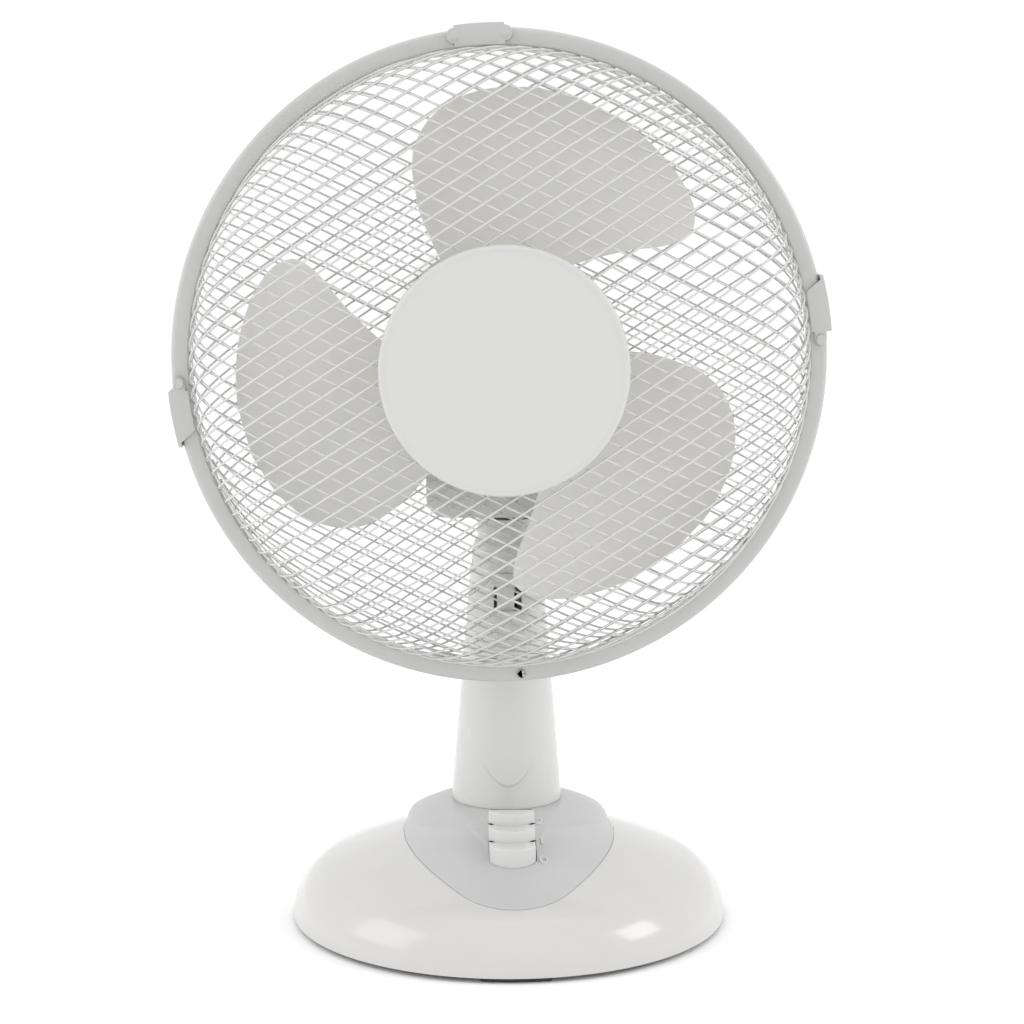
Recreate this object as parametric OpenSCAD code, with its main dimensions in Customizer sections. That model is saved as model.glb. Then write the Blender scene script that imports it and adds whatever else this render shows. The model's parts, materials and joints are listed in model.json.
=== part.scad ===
// Small oscillating desk fan: mesh guard, three-blade impeller, push-key base.
// Millimetres. +Z is up and the fan blows towards -Y. The origin is on the floor, under the column's axis.

/* [Base] */
// Radius of the round base at its widest
base_r = 97.3; // [94:0.1:104]
// Height of the base's dome above the floor
base_h = 44.5; // [43:0.5:46]
// How far the base's centre lies in front of the column's axis
base_forward = 31; // [28:1:33]
// Wall of the moulded shells
wall = 2.2; // [1.8:0.1:2.6]

/* [Column] */
// Height where the column meets the control panel
column_foot_z = 46.5; // [46:0.5:48]
// Radius of the column at its foot
column_foot_r = 25.4; // [25:0.1:26]
// Radius that the column would have at the tilt pivot
column_top_r = 16.3; // [16:0.1:16.6]
// Height of the tilt pivot
tilt_z = 158; // [157:0.5:159]

/* [Head] */
// Height of the motor's axis
axis_z = 255.2; // [254:0.1:257]
// Sideways offset of the motor's axis from the swing pivot
axis_x = -4.7; // [-6:0.1:-3]
// Distance of the guard ring's mid plane in front of the swing pivot
ring_forward = 60; // [58:1:62]
// Outer diameter of the guard ring
ring_d = 280; // [276:1:284]
// Turn of the guards on the motor, seen from the front
guard_roll = 3.7; // [0:0.1:6]
// Depth of the front mesh from the ring to the badge
front_depth = 51.2; // [48:0.1:53]
// Depth of the rear mesh from the ring to its seat
rear_depth = 42; // [40:1:44]

/* [Impeller] */
// Radius of the blade tips
tip_r = 116.5; // [110:0.5:118]
// Axial depth that one blade sweeps from edge to edge
blade_sweep = 30; // [26:1:32]
// Thickness of a blade
blade_t = 1.6; // [1.4:0.1:2]

/* [Keys] */
// Width of the three speed keys
key_w = 20.6; // [20:0.2:22]
// Distance from one key's front to the next
key_pitch = 8.6; // [8.4:0.1:9]
// How far a key is pressed
key_travel = 4; // [3:0.5:4]

/* [Hidden] */
$fn = 72;
gap = 0.3;
ring_y = -ring_forward;
base_y = -base_forward;

// ---- helpers ----

// Turns a part drawn along +Z to run along +Y about the motor's axis
module on_motor_axis() {
    translate([axis_x, 0, axis_z]) rotate([-90, 0, 0]) children();
}

// Places a part drawn on the ring's rim, with +X outwards and +Y along the rim
module on_ring(angle) {
    translate([axis_x, 0, axis_z]) rotate([0, -angle - guard_roll, 0]) translate([0, ring_y, 0])
        rotate([90, 0, 0]) children();
}

module tube(r_out, r_in, h) {
    difference() {
        cylinder(r = r_out, h = h);
        translate([0, 0, -1]) cylinder(r = r_in, h = h + 2);
    }
}

// A flat-topped screw along +Z with its head's top at the origin
module screw(r, head_r, head_h, length) {
    translate([0, 0, -head_h]) cylinder(r = head_r, h = head_h);
    translate([0, 0, -length]) cylinder(r = r, h = length - head_h + 0.01);
}

// ---- base ----

rim_arc_r = 27.3;
rim_z = 2.4;
crown_r = ((base_r - rim_arc_r) ^ 2 + (base_h - rim_z) ^ 2 - rim_arc_r ^ 2) / (2 * (base_h - rim_z - rim_arc_r));
panel_half_w = 47.3;
panel_wide_y = -30;
panel_tip_y = -112.4;
panel_side_r = 115;
panel_back_y = -20;
panel_proud = 1.6;
keys_front_y = -85.4;
key_front_r = 27;
switch_top_z = 24;

// Half outline of the dome, a crown arc and a rim arc that meet tangentially; lift moves it outwards
module dome_half(lift) {
    drop = base_h - crown_r;
    split = atan2(base_r - rim_arc_r, rim_z - drop);
    far = crown_r + 50;
    intersection() {
        union() {
            intersection() {
                translate([0, drop]) circle(r = crown_r + lift);
                polygon([[0, drop], [0, drop + far], [far * tan(split), drop + far]]);
            }
            translate([base_r - rim_arc_r, rim_z]) circle(r = rim_arc_r + lift);
            square([base_r - rim_arc_r, rim_z + rim_arc_r / 2]);
        }
        translate([0, rim_z]) square([base_r + 10, base_h + 10]);
    }
}

module dome(lift = 0) {
    translate([0, base_y, 0]) rotate_extrude() dome_half(lift);
}

// Points of an arc about a centre, from one angle to another
function arc(centre, r, a0, a1, steps) =
    [for (i = [0:steps]) let(a = a0 + (a1 - a0) * i / steps) centre + r * [cos(a), sin(a)]];

// Plan of the control panel: two side arcs that run into a round tip, and a round back behind the column
module panel_plan() {
    centre_x = panel_side_r - panel_half_w;
    reach = panel_wide_y - panel_tip_y;
    rest = panel_side_r - reach;
    tip_r = reach - (centre_x ^ 2 - rest ^ 2) / (2 * rest);
    tip_y = panel_tip_y + tip_r;
    touch = atan2(panel_wide_y - tip_y, centre_x);
    polygon(concat(
        arc([-centre_x, panel_wide_y], panel_side_r, -touch, 0, 14),
        arc([0, panel_back_y], panel_half_w, 0, 180, 32),
        arc([centre_x, panel_wide_y], panel_side_r, 180, 180 + touch, 14),
        arc([0, tip_y], tip_r, touch - 180, -touch, 14)));
}

// Plan of the key block from one key's front backwards: straight sides and a bowed front edge
module keys_plan(front_y, grow = 0) {
    intersection() {
        translate([-key_w / 2 - grow, front_y - grow]) square([key_w + 2 * grow, 3 * key_pitch + 2]);
        translate([0, front_y + key_front_r]) circle(r = key_front_r + grow);
    }
}

// The hole that the three keys stand in
module keys_well(grow) {
    intersection() {
        linear_extrude(100) keys_plan(keys_front_y, grow);
        translate([-50, keys_front_y - 5, -1]) cube([100, 3 * key_pitch + 5 + grow, 102]);
    }
}

module base_cover() {
    color("whitesmoke") difference() {
        dome();
        translate([0, 0, -0.01]) dome(-wall);
        cylinder(r = spigot_r + 0.4, h = 60);
        keys_well(1.2);
        translate([0, base_y + base_r, inlet_z]) rotate([90, 0, 0]) cylinder(r = inlet_r + 0.05, h = 40, center = true);
    }
    color("whitesmoke") difference() {
        translate([0, 0, 33]) tube(23, spigot_r + 0.4, 20);
        translate([0, base_y, 0]) rotate_extrude() difference() {
            square([base_r, 60]);
            dome_half(-wall + 0.01);
        }
    }
}

module control_panel() {
    color("gainsboro") difference() {
        intersection() {
            translate([0, 0, 10]) linear_extrude(50) panel_plan();
            translate([0, base_y, 0]) rotate_extrude() difference() {
                dome_half(panel_proud);
                dome_half(0);
            }
        }
        cylinder(r = spigot_r + 0.4, h = 80);
        keys_well(0.35);
    }
    color("gainsboro") difference() {
        translate([0, 0, 43.5]) tube(column_foot_r + 1.6, spigot_r + 0.4, column_foot_z - 43.5);
        dome();
    }
}

module base_plate() {
    color("silver") difference() {
        translate([0, base_y, 2]) cylinder(r = base_r - 5, h = 2.4);
        for (a = [45:90:315])
            translate([74 * cos(a), base_y + 74 * sin(a), 0]) cylinder(r = 1.6, h = 8);
    }
}

module ballast_weight() {
    color("dimgray") difference() {
        translate([0, base_y, 4.45]) cylinder(r = 66, h = 6);
        translate([0, 0, 4]) cylinder(r = 28, h = 10);
        translate([-20, -98, 4]) cube([40, 80, 10]);
    }
}

foot_h = 2;
module rubber_feet() {
    color("darkgray") {
        for (a = [30, 150, 210, 330])
            translate([84 * cos(a), base_y + 84 * sin(a), 0]) cylinder(r = 7, h = foot_h - 0.02);
        cylinder(r = 7, h = foot_h - 0.02);
        intersection() {
            translate([0, base_y, 0]) tube(base_r - 2.4, base_r - 11, foot_h - 0.02);
            translate([-14.5, base_y - base_r, -1]) cube([29, 12, 10]);
        }
    }
}

module base_screws() {
    color("silver") for (a = [45:90:315])
        translate([74 * cos(a), base_y + 74 * sin(a), 0.78]) rotate([180, 0, 0]) screw(1.5, 3.2, 1.2, 10);
}

module switch_block() {
    block_l = 3 * key_pitch + 8;
    color("dimgray") difference() {
        translate([-13, keys_front_y, 10.6]) cube([26, block_l, switch_top_z - 10.6]);
        for (i = [0:2])
            translate([-6, keys_front_y + 4 + i * key_pitch, switch_top_z - 3]) cube([12, 3, 4]);
    }
    color("dimgray") for (x = [-15, 15])
        translate([x - 2, keys_front_y + 6, 4.45]) cube([4, 20, 12]);
}

inlet_r = 5;
inlet_bore = 3.4;
inlet_z = 14;
module cord_inlet() {
    color("gainsboro") translate([0, base_y + base_r - 5, inlet_z]) rotate([-90, 0, 0]) {
        translate([0, 0, -12]) tube(inlet_r, inlet_bore, 20);
        translate([0, 0, -14]) tube(inlet_r + 2, inlet_bore, 2.05);
    }
}

// One key: the ground between its own bowed front and the next key's, so that the three nest
module key(i, top_z) {
    front_y = keys_front_y + i * key_pitch;
    stem_z = switch_top_z + key_travel + 0.6;
    difference() {
        intersection() {
            translate([0, 0, stem_z]) linear_extrude(top_z - stem_z) keys_plan(front_y);
            translate([-50, keys_front_y, 0]) cube([100, 3 * key_pitch - gap, 90]);
        }
        if (i < 2) translate([0, 0, -1]) linear_extrude(100) keys_plan(front_y + key_pitch, gap);
    }
}

key_tops = [46.2, 51.6, 57];
module key_off() { color("whitesmoke") key(0, key_tops[0]); }
module key_low() { color("whitesmoke") key(1, key_tops[1]); }
module key_high() { color("whitesmoke") key(2, key_tops[2]); }

// ---- column and tilt joint ----

saddle_r = 16.4;
ear_x = [4.6, 7.4];
ear_r = 6.5;
bolt_r = 2.5;
bolt_recess_x = 10;
window_w = 12.6;
window_z = [137, 148];
spigot_r = 18;

function column_r(z) =
    column_foot_r + (column_top_r - column_foot_r) * (z - column_foot_z) / (tilt_z - column_foot_z);

// A cylinder across the column at the height of the tilt pivot
module along_x(r, length) {
    translate([0, 0, tilt_z]) rotate([0, 90, 0]) cylinder(r = r, h = length, center = true);
}

module column() {
    foot_z = column_foot_z + 0.4;
    lip_z = tilt_z - 4;
    ear_foot_z = 122;
    stalk_w = 2 * ear_r - 0.6;
    color("whitesmoke") difference() {
        union() {
            translate([0, 0, foot_z])
                cylinder(r1 = column_r(foot_z), r2 = column_r(lip_z), h = lip_z - foot_z);
            translate([0, 0, 24]) cylinder(r = spigot_r, h = foot_z - 23.9);
        }
        translate([0, 0, foot_z + 3])
            cylinder(r1 = column_r(foot_z) - wall - 1, r2 = column_r(lip_z) - wall, h = lip_z - foot_z);
        translate([0, 0, 20]) cylinder(r = spigot_r - 3, h = 40);
        along_x(saddle_r, 60);
        translate([-window_w / 2, -40, window_z[0]]) cube([window_w, 40, window_z[1] - window_z[0]]);
    }
    color("whitesmoke") for (side = [-1, 1])
        difference() {
            union() {
                translate([side * (ear_x[0] + ear_x[1]) / 2, 0, 0]) along_x(ear_r, ear_x[1] - ear_x[0]);
                translate([side > 0 ? ear_x[0] : -ear_x[1], -stalk_w / 2, ear_foot_z])
                    cube([ear_x[1] - ear_x[0], stalk_w, tilt_z - ear_foot_z]);
                intersection() {
                    translate([side > 0 ? ear_x[0] : -ear_x[1], -30, ear_foot_z])
                        cube([ear_x[1] - ear_x[0], 60, 10]);
                    cylinder(r = column_r(ear_foot_z + 10) - wall + 0.4, h = 200);
                }
            }
            along_x(bolt_r + 0.05, 60);
        }
}

module column_nut() {
    color("gainsboro") translate([0, 0, 25]) difference() {
        cylinder(r = 25, h = 7.95, $fn = 12);
        translate([0, 0, -1]) cylinder(r = spigot_r + 0.05, h = 10);
    }
}

module tilt_bolt() {
    color("silver") {
        along_x(bolt_r, 2 * bolt_recess_x + 7);
        translate([-bolt_recess_x - 2.9, 0, tilt_z]) rotate([0, 90, 0]) cylinder(r = 4, h = 2.6);
    }
}

module tilt_nut() {
    color("silver") translate([bolt_recess_x + 0.3, 0, tilt_z]) rotate([0, 90, 0]) difference() {
        cylinder(r = 4.4, h = 2.6, $fn = 6);
        translate([0, 0, -1]) cylinder(r = bolt_r, h = 5);
    }
}

neck_top_z = 178;
neck_r = 13.2;
shoulder_z = [158, 168];

// Half profile of the neck: the column's taper, a round shoulder and a straight top
module neck_half() {
    foot_r = column_r(shoulder_z[0]);
    shoulder = [for (a = [0:15:90]) [neck_r + (foot_r - neck_r) * cos(a),
        shoulder_z[0] + (shoulder_z[1] - shoulder_z[0]) * sin(a)]];
    polygon(concat([[0, tilt_z - saddle_r], [column_r(tilt_z - saddle_r), tilt_z - saddle_r]], shoulder,
        [[neck_r, neck_top_z], [0, neck_top_z]]));
}

module neck_bracket() {
    slot_w = ear_x[1] - ear_x[0] + 1;
    color("gainsboro") difference() {
        intersection() {
            rotate_extrude() neck_half();
            union() {
                along_x(saddle_r - 0.4, 60);
                translate([-30, -30, tilt_z + 4]) cube([60, 60, 40]);
            }
        }
        for (side = [-1, 1]) {
            translate([side * (ear_x[0] + ear_x[1]) / 2 - slot_w / 2, 0, tilt_z]) rotate([90, 0, 90])
                linear_extrude(slot_w) hull() {
                    circle(r = ear_r + 0.6);
                    for (a = [-110, -70]) translate(20 * [cos(a), sin(a)]) circle(r = ear_r + 0.6);
                }
            translate([side * (bolt_recess_x + 10), 0, 0]) along_x(5, 20);
        }
        along_x(bolt_r + 0.06, 60);
        translate([0, 0, 170]) cylinder(r = 5, h = 20);
        translate([-10, 0, 174]) cylinder(r = 1.5, h = 20);
    }
}

module swing_pivot_tube() {
    color("silver") difference() {
        translate([0, 0, 170]) cylinder(r = 5, h = 28);
        translate([0, 0, 169]) cylinder(r = 1.6, h = 40);
    }
}

module thrust_washer() {
    color("silver") translate([0, 0, neck_top_z]) tube(7, 5.05, 0.8);
}

module link_pin() {
    color("silver") translate([-10, 0, 174]) cylinder(r = 1.5, h = 12.4);
}

// ---- head: gear case, covers and motor ----

case_z = [neck_top_z + 0.85, 214];
cover_front_y = -17;
cover_split_y = 20;
cover_rear_y = 84;
cover_r = 48;
pod_half_w = 32;
pod_bottom_z = 179.8;
spindle = [axis_x + 16, 52];
crank_reach = 20;
crank = [spindle[0] - crank_reach * cos(45), spindle[1] - crank_reach * sin(45)];
crank_arm_z = 187.5;

module gear_case() {
    color("silver") difference() {
        union() {
            translate([0, 0, case_z[0]]) cylinder(r = 6.1, h = 20);
            translate([-14, -12, 193]) cube([28, 26, 9]);
            translate([-26, 8, 196]) cube([50, 48, 6]);
            translate([crank[0], crank[1], 191]) cylinder(r = 6, h = 8);
            for (x = [-26, 20]) translate([x, 10, 201]) cube([4, 24, 12]);
        }
        translate([0, 0, 170]) cylinder(r = 5.05, h = 40);
        translate([0, 0, 198.5]) cylinder(r = 7.1, h = 20);
        translate([crank[0], crank[1], 180]) cylinder(r = 2.55, h = 40);
        translate([spindle[0], spindle[1], 180]) cylinder(r = 2.05, h = 40);
    }
}

module pivot_screw() {
    color("silver") translate([0, 0, 200.6]) screw(1.55, 7, 2, 18);
}

// Section of the motor covers: a round barrel with a flat-bottomed pod under it
module cover_section(inset) {
    circle(r = cover_r - inset);
    corner = 9;
    low = pod_bottom_z - axis_z + inset;
    half = pod_half_w - inset;
    polygon(concat([[half, 0], [-half, 0]],
        [for (a = [180:15:270]) [-half + corner + corner * cos(a), low + corner + corner * sin(a)]],
        [for (a = [270:15:360]) [half - corner + corner * cos(a), low + corner + corner * sin(a)]]));
}

module cover_bar(inset, y0, y1) {
    translate([axis_x, y1, axis_z]) rotate([90, 0, 0]) linear_extrude(y1 - y0) cover_section(inset);
}

// The ball that rounds the rear cover's tail
module tail_ball(inset) {
    tail_r = 92;
    translate([axis_x, cover_rear_y - tail_r, axis_z - 8]) sphere(r = tail_r - inset, $fn = 120);
}

module motor_front_cover() {
    color("whitesmoke") difference() {
        cover_bar(0, cover_front_y, cover_split_y);
        cover_bar(wall, cover_front_y + wall, cover_split_y + 1);
        on_motor_axis() translate([0, 0, -30]) cylinder(r = 24, h = 40);
        translate([0, 0, 170]) cylinder(r = 13, h = 18);
    }
}

module motor_rear_cover() {
    color("whitesmoke") difference() {
        intersection() {
            cover_bar(0, cover_split_y + 0.2, cover_rear_y + 1);
            tail_ball(0);
        }
        intersection() {
            cover_bar(wall, cover_split_y - 1, cover_rear_y);
            tail_ball(wall);
        }
        translate([0, 0, 170]) cylinder(r = 23, h = 18);
        translate([spindle[0], spindle[1], axis_z + 20]) cylinder(r = 3.6, h = 40);
        for (row = [-3:3])
            on_motor_axis() translate([row * 8 - 2, -14, 60]) cube([4, 30, 40]);
        for (x = [-20, 20])
            translate([axis_x + x, 0, axis_z + 30]) rotate([-90, 0, 0]) cylinder(r = 1.7, h = 120);
    }
}

module cover_screws() {
    color("silver") for (x = [-20, 20])
        translate([axis_x + x, 79.5, axis_z + 30]) rotate([-90, 0, 0]) screw(1.5, 3, 1.6, 23);
}

shaft_r = 4;
shield_y = [[-14, -10], [30, 34]];

// A die-cast end shield: a square-cornered disc with a boss for the bush
module end_shield(y0, thick, boss_y, boss_len, bush_r) {
    difference() {
        union() {
            on_motor_axis() translate([0, 0, y0]) cylinder(r = 40, h = thick);
            on_motor_axis() translate([0, 0, boss_y]) cylinder(r = 11, h = boss_len);
        }
        on_motor_axis() translate([0, 0, boss_y - 20]) cylinder(r = bush_r, h = 60);
        for (a = [45:90:315])
            on_motor_axis() rotate([0, 0, a]) translate([35, 0, -40]) cylinder(r = 1.7, h = 90);
        for (a = [0:90:270])
            on_motor_axis() rotate([0, 0, a]) translate([26, 0, -40]) cylinder(r = 5, h = 90);
    }
}

module front_end_shield() { color("silver") end_shield(shield_y[0][0], 4, -26, 16, 7); }
module rear_end_shield() { color("silver") end_shield(shield_y[1][0], 4, 30, 12, 7); }

module shaft_bushes() {
    color("goldenrod") on_motor_axis() {
        translate([0, 0, -25]) tube(7, shaft_r + 0.05, 12);
        translate([0, 0, 31]) tube(7, shaft_r + 0.05, 10);
    }
}

module stator_core() {
    color("gray") on_motor_axis() difference() {
        translate([0, 0, -2]) intersection() {
            cylinder(r = 40, h = 24);
            translate([-32, -32, 0]) cube([64, 64, 24]);
        }
        translate([0, 0, -3]) cylinder(r = 16.4, h = 30);
        for (x = [-1, 1]) translate([x * 23 - 5, -9, -3]) cube([10, 18, 30]);
        for (a = [45:90:315]) rotate([0, 0, a]) translate([35, 0, -5]) cylinder(r = 1.7, h = 40);
    }
}

module coil_windings() {
    color("chocolate") on_motor_axis() for (x = [-1, 1]) translate([x * 23, 0, -6]) difference() {
        translate([-4.8, -8.8, 0]) cube([9.6, 17.6, 32]);
        translate([-1, -3, -1]) cube([2, 6, 34]);
    }
}

module motor_bolts() {
    color("silver") on_motor_axis() for (a = [45:90:315])
        rotate([0, 0, a]) translate([35, 0, 37]) screw(1.6, 3, 3, 51.5);
}

// ---- guards ----

mesh_t = 0.8;
mesh_rim_r = 132.5;
mesh_order = 2.9;
badge_r = 51.6;
ring_r = ring_d / 2;
ring_w = 7.3;
ring_depth = 13;
ring_t = 1.6;

function mesh_depth(r, depth) = depth * (1 - (r / mesh_rim_r) ^ mesh_order) ^ (1 / mesh_order);

// Radii from r0 out to the rim, closer together where the mesh turns down to the ring
function mesh_radii(r0) = [for (i = [0:14]) r0 + (mesh_rim_r - r0) * sin(i * 90 / 14)];

// A mesh dome as a thin shell of revolution, its wires' outside on the given depth
module mesh_dome(r0, depth) {
    outer = [for (r = mesh_radii(r0)) [r, mesh_depth(r, depth)]];
    inner = [for (p = outer) [p[0] * (1 - mesh_t / mesh_rim_r), p[1] * (1 - mesh_t / depth)]];
    n = len(outer) - 1;
    rotate_extrude($fn = 120)
        polygon(concat(outer, [for (i = [n:-1:0]) i == 0 ? [outer[0][0], inner[0][1]] : inner[i]]));
}

module front_guard_mesh() {
    color("white") translate([axis_x, ring_y - 1.5, axis_z]) rotate([90, 0, 0])
        mesh_dome(8, front_depth - 1.5);
}

module rear_guard_mesh() {
    color("white") translate([axis_x, ring_y + 1.5, axis_z]) rotate([-90, 0, 0])
        mesh_dome(30.2, rear_depth - 1.5);
}

module rear_guard_ring() {
    color("white") on_motor_axis() translate([0, 0, ring_y + 0.1]) tube(137.4, mesh_rim_r + 0.1, 4);
}

module front_guard_ring() {
    color("lightgray") on_motor_axis() difference() {
        translate([0, 0, ring_y - ring_depth / 2]) tube(ring_r, ring_r - ring_w, ring_depth);
        translate([0, 0, ring_y - ring_depth / 2 + ring_t]) tube(ring_r - ring_t, ring_r - ring_w - 1, ring_depth);
        rotate([0, 0, 90 - guard_roll]) translate([ring_r - ring_w / 2, 0, ring_y - 10])
            cylinder(r = 1.55, h = 20);
    }
}

module rear_guard_seat() {
    seat_y = ring_y + rear_depth - 2.6;
    color("white") on_motor_axis() translate([0, 0, seat_y]) tube(30, 11.1, 2.2);
}

module guard_nut() {
    seat_y = ring_y + rear_depth - 2.6;
    color("gainsboro") on_motor_axis() translate([0, 0, seat_y - 6.2]) difference() {
        cylinder(r = 20, h = 6);
        translate([0, 0, -1]) cylinder(r = 11.1, h = 10);
        for (a = [0:30:330]) rotate([0, 0, a]) translate([21.5, 0, -1]) cylinder(r = 2.6, h = 10);
    }
}

badge_y = ring_y - front_depth;
module badge_disc() {
    color("whitesmoke") on_motor_axis() difference() {
        union() {
            translate([0, 0, badge_y - 4]) cylinder(r1 = badge_r - 1.4, r2 = badge_r, h = 1.4);
            translate([0, 0, badge_y - 2.6]) cylinder(r = badge_r, h = 2.4);
        }
        translate([0, 0, badge_y - 2]) cylinder(r = badge_r - 2, h = 4);
    }
    color("whitesmoke") on_motor_axis() for (a = [90:120:330]) rotate([0, 0, a])
        translate([5, 0, badge_y - 2.1]) tube(2.6, 1.2, 4.4);
}

module badge_backing() {
    color("gainsboro") on_motor_axis() difference() {
        translate([0, 0, badge_y + 2.6]) cylinder(r = 22, h = 2);
        for (a = [90:120:330]) rotate([0, 0, a]) translate([5, 0, badge_y]) cylinder(r = 1.2, h = 10);
    }
}

// ---- guard clips, hook and screw ----

grip_z = ring_depth / 2 + 0.3;
grip_t = 1.4;
grip_out = 1.9;
lug_r = ring_r - ring_w / 2 + 0.6;
clip_eye_r = 2.6;
clip_pin_r = 1.2;
clip_len = 27.5;

// A curved strip along the rim between two radii, from y0 to y1
module rim_strip(r_in, r_out, y0, y1) {
    intersection() {
        difference() {
            circle(r = r_out, $fn = 180);
            circle(r = r_in, $fn = 180);
        }
        translate([ring_r - 20, y0]) square([40, y1 - y0]);
    }
}

// The outer band that joins a grip's two flanges over the rim
module rim_band(y0, y1) {
    translate([0, 0, -grip_z - grip_t]) linear_extrude(2 * (grip_z + grip_t))
        rim_strip(ring_r + 0.3, ring_r + grip_out, y0, y1);
}

module top_hook() {
    lug_y = 10.6;
    color("gainsboro") on_ring(90) {
        rim_band(-lug_y, lug_y);
        for (z = [grip_z, -grip_z - grip_t])
            translate([0, 0, z]) linear_extrude(grip_t) rim_strip(ring_r - ring_w, ring_r + grip_out, -lug_y, lug_y);
        for (y = [-lug_y, lug_y])
            translate([ring_r - 2.8, y, grip_z]) cylinder(r = 3.3, h = grip_t);
    }
}

module clip_rivets() {
    color("gainsboro") for (angle = [0, 180])
        on_ring(angle) translate([lug_r, 0, ring_depth / 2]) {
            cylinder(r = clip_pin_r, h = 2.4);
            translate([0, 0, 2.1]) cylinder(r = 2.2, h = 0.9);
        }
}

// The lever's plan follows the rim, with an eye at one end and a slanted free end
module clip() {
    color("gainsboro") {
        rim_band(3.4, clip_len);
        for (z = [grip_z, -grip_z - grip_t])
            translate([0, 0, z]) linear_extrude(grip_t) intersection() {
                rim_strip(ring_r - ring_w + 0.4, ring_r + grip_out, 3.4, clip_len);
                polygon([[100, 0], [100, -14], [ring_r - ring_w, clip_len - 6], [ring_r + 6, clip_len + 4],
                    [ring_r + 6, 0]]);
            }
        translate([0, 0, grip_z]) linear_extrude(grip_t) difference() {
            union() {
                translate([lug_r, 0]) circle(r = clip_eye_r);
                translate([lug_r - clip_eye_r, 0]) square([2 * clip_eye_r, 5]);
            }
            translate([lug_r, 0]) circle(r = clip_pin_r + 0.05);
        }
    }
}

module clip_right() { on_ring(0) clip(); }
module clip_left() { on_ring(180) clip(); }

module ring_screw() {
    color("silver") on_ring(270) translate([ring_r - ring_w / 2, 0, ring_depth / 2]) difference() {
        union() {
            translate([0, 0, 0.02]) cylinder(r1 = 2.3, r2 = 1.6, h = 1.2);
            translate([0, 0, -6]) cylinder(r = 1.5, h = 6.1);
        }
        for (a = [0, 90]) rotate([0, 0, a]) translate([-1.5, -0.3, 0.5]) cube([3, 0.6, 2]);
    }
}

// ---- rotor ----

hub_r = 26;
hub_y = -62;
blade_mid_y = -45;
spread = 38;
// [radius, edge angle] of the two blade edges, from the hub to the tip
front_edge = [[24, 62], [40, 57], [52, 51], [71, 40.5], [85, 34.7], [95, 33.4], [101, 35], [106, 39.5],
    [110, 48], [113, 58], [115.3, 69], [116.5, 81]];
rear_edge = [[24, 121], [40, 122.5], [52, 122.5], [68, 121], [80, 118], [91, 115], [100, 110.8], [107, 105.5],
    [112, 99.5], [115, 92], [116.5, 83]];
root_r = hub_r - 1.1;
blade_steps = 12;
chord_steps = 9;

// Middle surface of the first blade: a helicoid with a little camber
function blade_y(a) = let(k = (a - 76) / spread) blade_mid_y + blade_sweep / 2 * k + 3 * (1 - k * k);
function blade_point(i, j, side) =
    let(r = root_r + (tip_r - root_r) * sin(i * 90 / blade_steps),
        a0 = lookup(r / tip_r * 116.5, front_edge),
        a1 = lookup(r / tip_r * 116.5, rear_edge),
        a = a0 + (a1 - a0) * j / chord_steps)
    [r * cos(a), blade_y(a) + side * blade_t / 2, r * sin(a)];

module blade() {
    rows = blade_steps + 1;
    cols = chord_steps + 1;
    count = rows * cols;
    points = [for (side = [-1, 1], i = [0:blade_steps], j = [0:chord_steps]) blade_point(i, j, side)];
    front = [for (i = [0:blade_steps - 1], j = [0:chord_steps - 1], t = [0, 1]) let(p = i * cols + j)
        t == 0 ? [p, p + 1, p + cols] : [p + 1, p + cols + 1, p + cols]];
    back = [for (f = front) [f[2] + count, f[1] + count, f[0] + count]];
    rim = concat([for (j = [0:chord_steps]) j], [for (i = [1:blade_steps]) i * cols + chord_steps],
        [for (j = [chord_steps - 1:-1:0]) blade_steps * cols + j], [for (i = [blade_steps - 1:-1:1]) i * cols]);
    n = len(rim);
    edge = [for (k = [0:n - 1], t = [0, 1]) let(a = rim[k], b = rim[(k + 1) % n])
        t == 0 ? [b, a, a + count] : [b, a + count, b + count]];
    polyhedron(points, concat(front, back, edge));
}

module impeller() {
    color("white") difference() {
        union() {
            on_motor_axis() difference() {
                translate([0, 0, hub_y]) cylinder(r = hub_r, h = 26);
                translate([0, 0, hub_y + 2.4]) cylinder(r = hub_r - 2, h = 30);
            }
            on_motor_axis() translate([0, 0, hub_y]) cylinder(r = 9, h = 22);
            translate([axis_x, 0, axis_z]) for (k = [0:2]) rotate([0, -120 * k, 0]) blade();
        }
        on_motor_axis() translate([0, 0, hub_y - 5]) cylinder(r = shaft_r, h = 60);
        on_motor_axis() translate([-7.2, -1.3, hub_y + 18.8]) cube([14.4, 2.6, 4]);
    }
}

module rotor_shaft() {
    color("silver") difference() {
        on_motor_axis() translate([0, 0, -74]) cylinder(r = shaft_r, h = 132);
        on_motor_axis() translate([0, 0, hub_y + 20]) rotate([0, 90, 0]) cylinder(r = 1.05, h = 30, center = true);
    }
}

module rotor_core() {
    color("gray") on_motor_axis() translate([0, 0, -2]) tube(16, shaft_r, 24);
}

module drive_pin() {
    color("silver") on_motor_axis() translate([0, 0, hub_y + 20]) rotate([0, 90, 0])
        cylinder(r = 1, h = 14, center = true);
}

module spinner_cap() {
    color("whitesmoke") on_motor_axis() difference() {
        union() {
            translate([0, 0, hub_y - 8.2]) cylinder(r1 = 12, r2 = 15, h = 8);
            translate([0, 0, hub_y - 14.2]) cylinder(r1 = 7, r2 = 12, h = 6);
        }
        translate([0, 0, -74.4]) cylinder(r = shaft_r, h = 30);
        for (a = [0:45:315]) rotate([0, 0, a]) translate([16.4, 0, -80]) cylinder(r = 2.4, h = 30);
    }
}

// ---- oscillation gear ----

wheel_teeth = 24;
wheel_r = 12;
pinion_teeth = 10;
crank_teeth = 40;
gear_module = 0.8;

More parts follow.
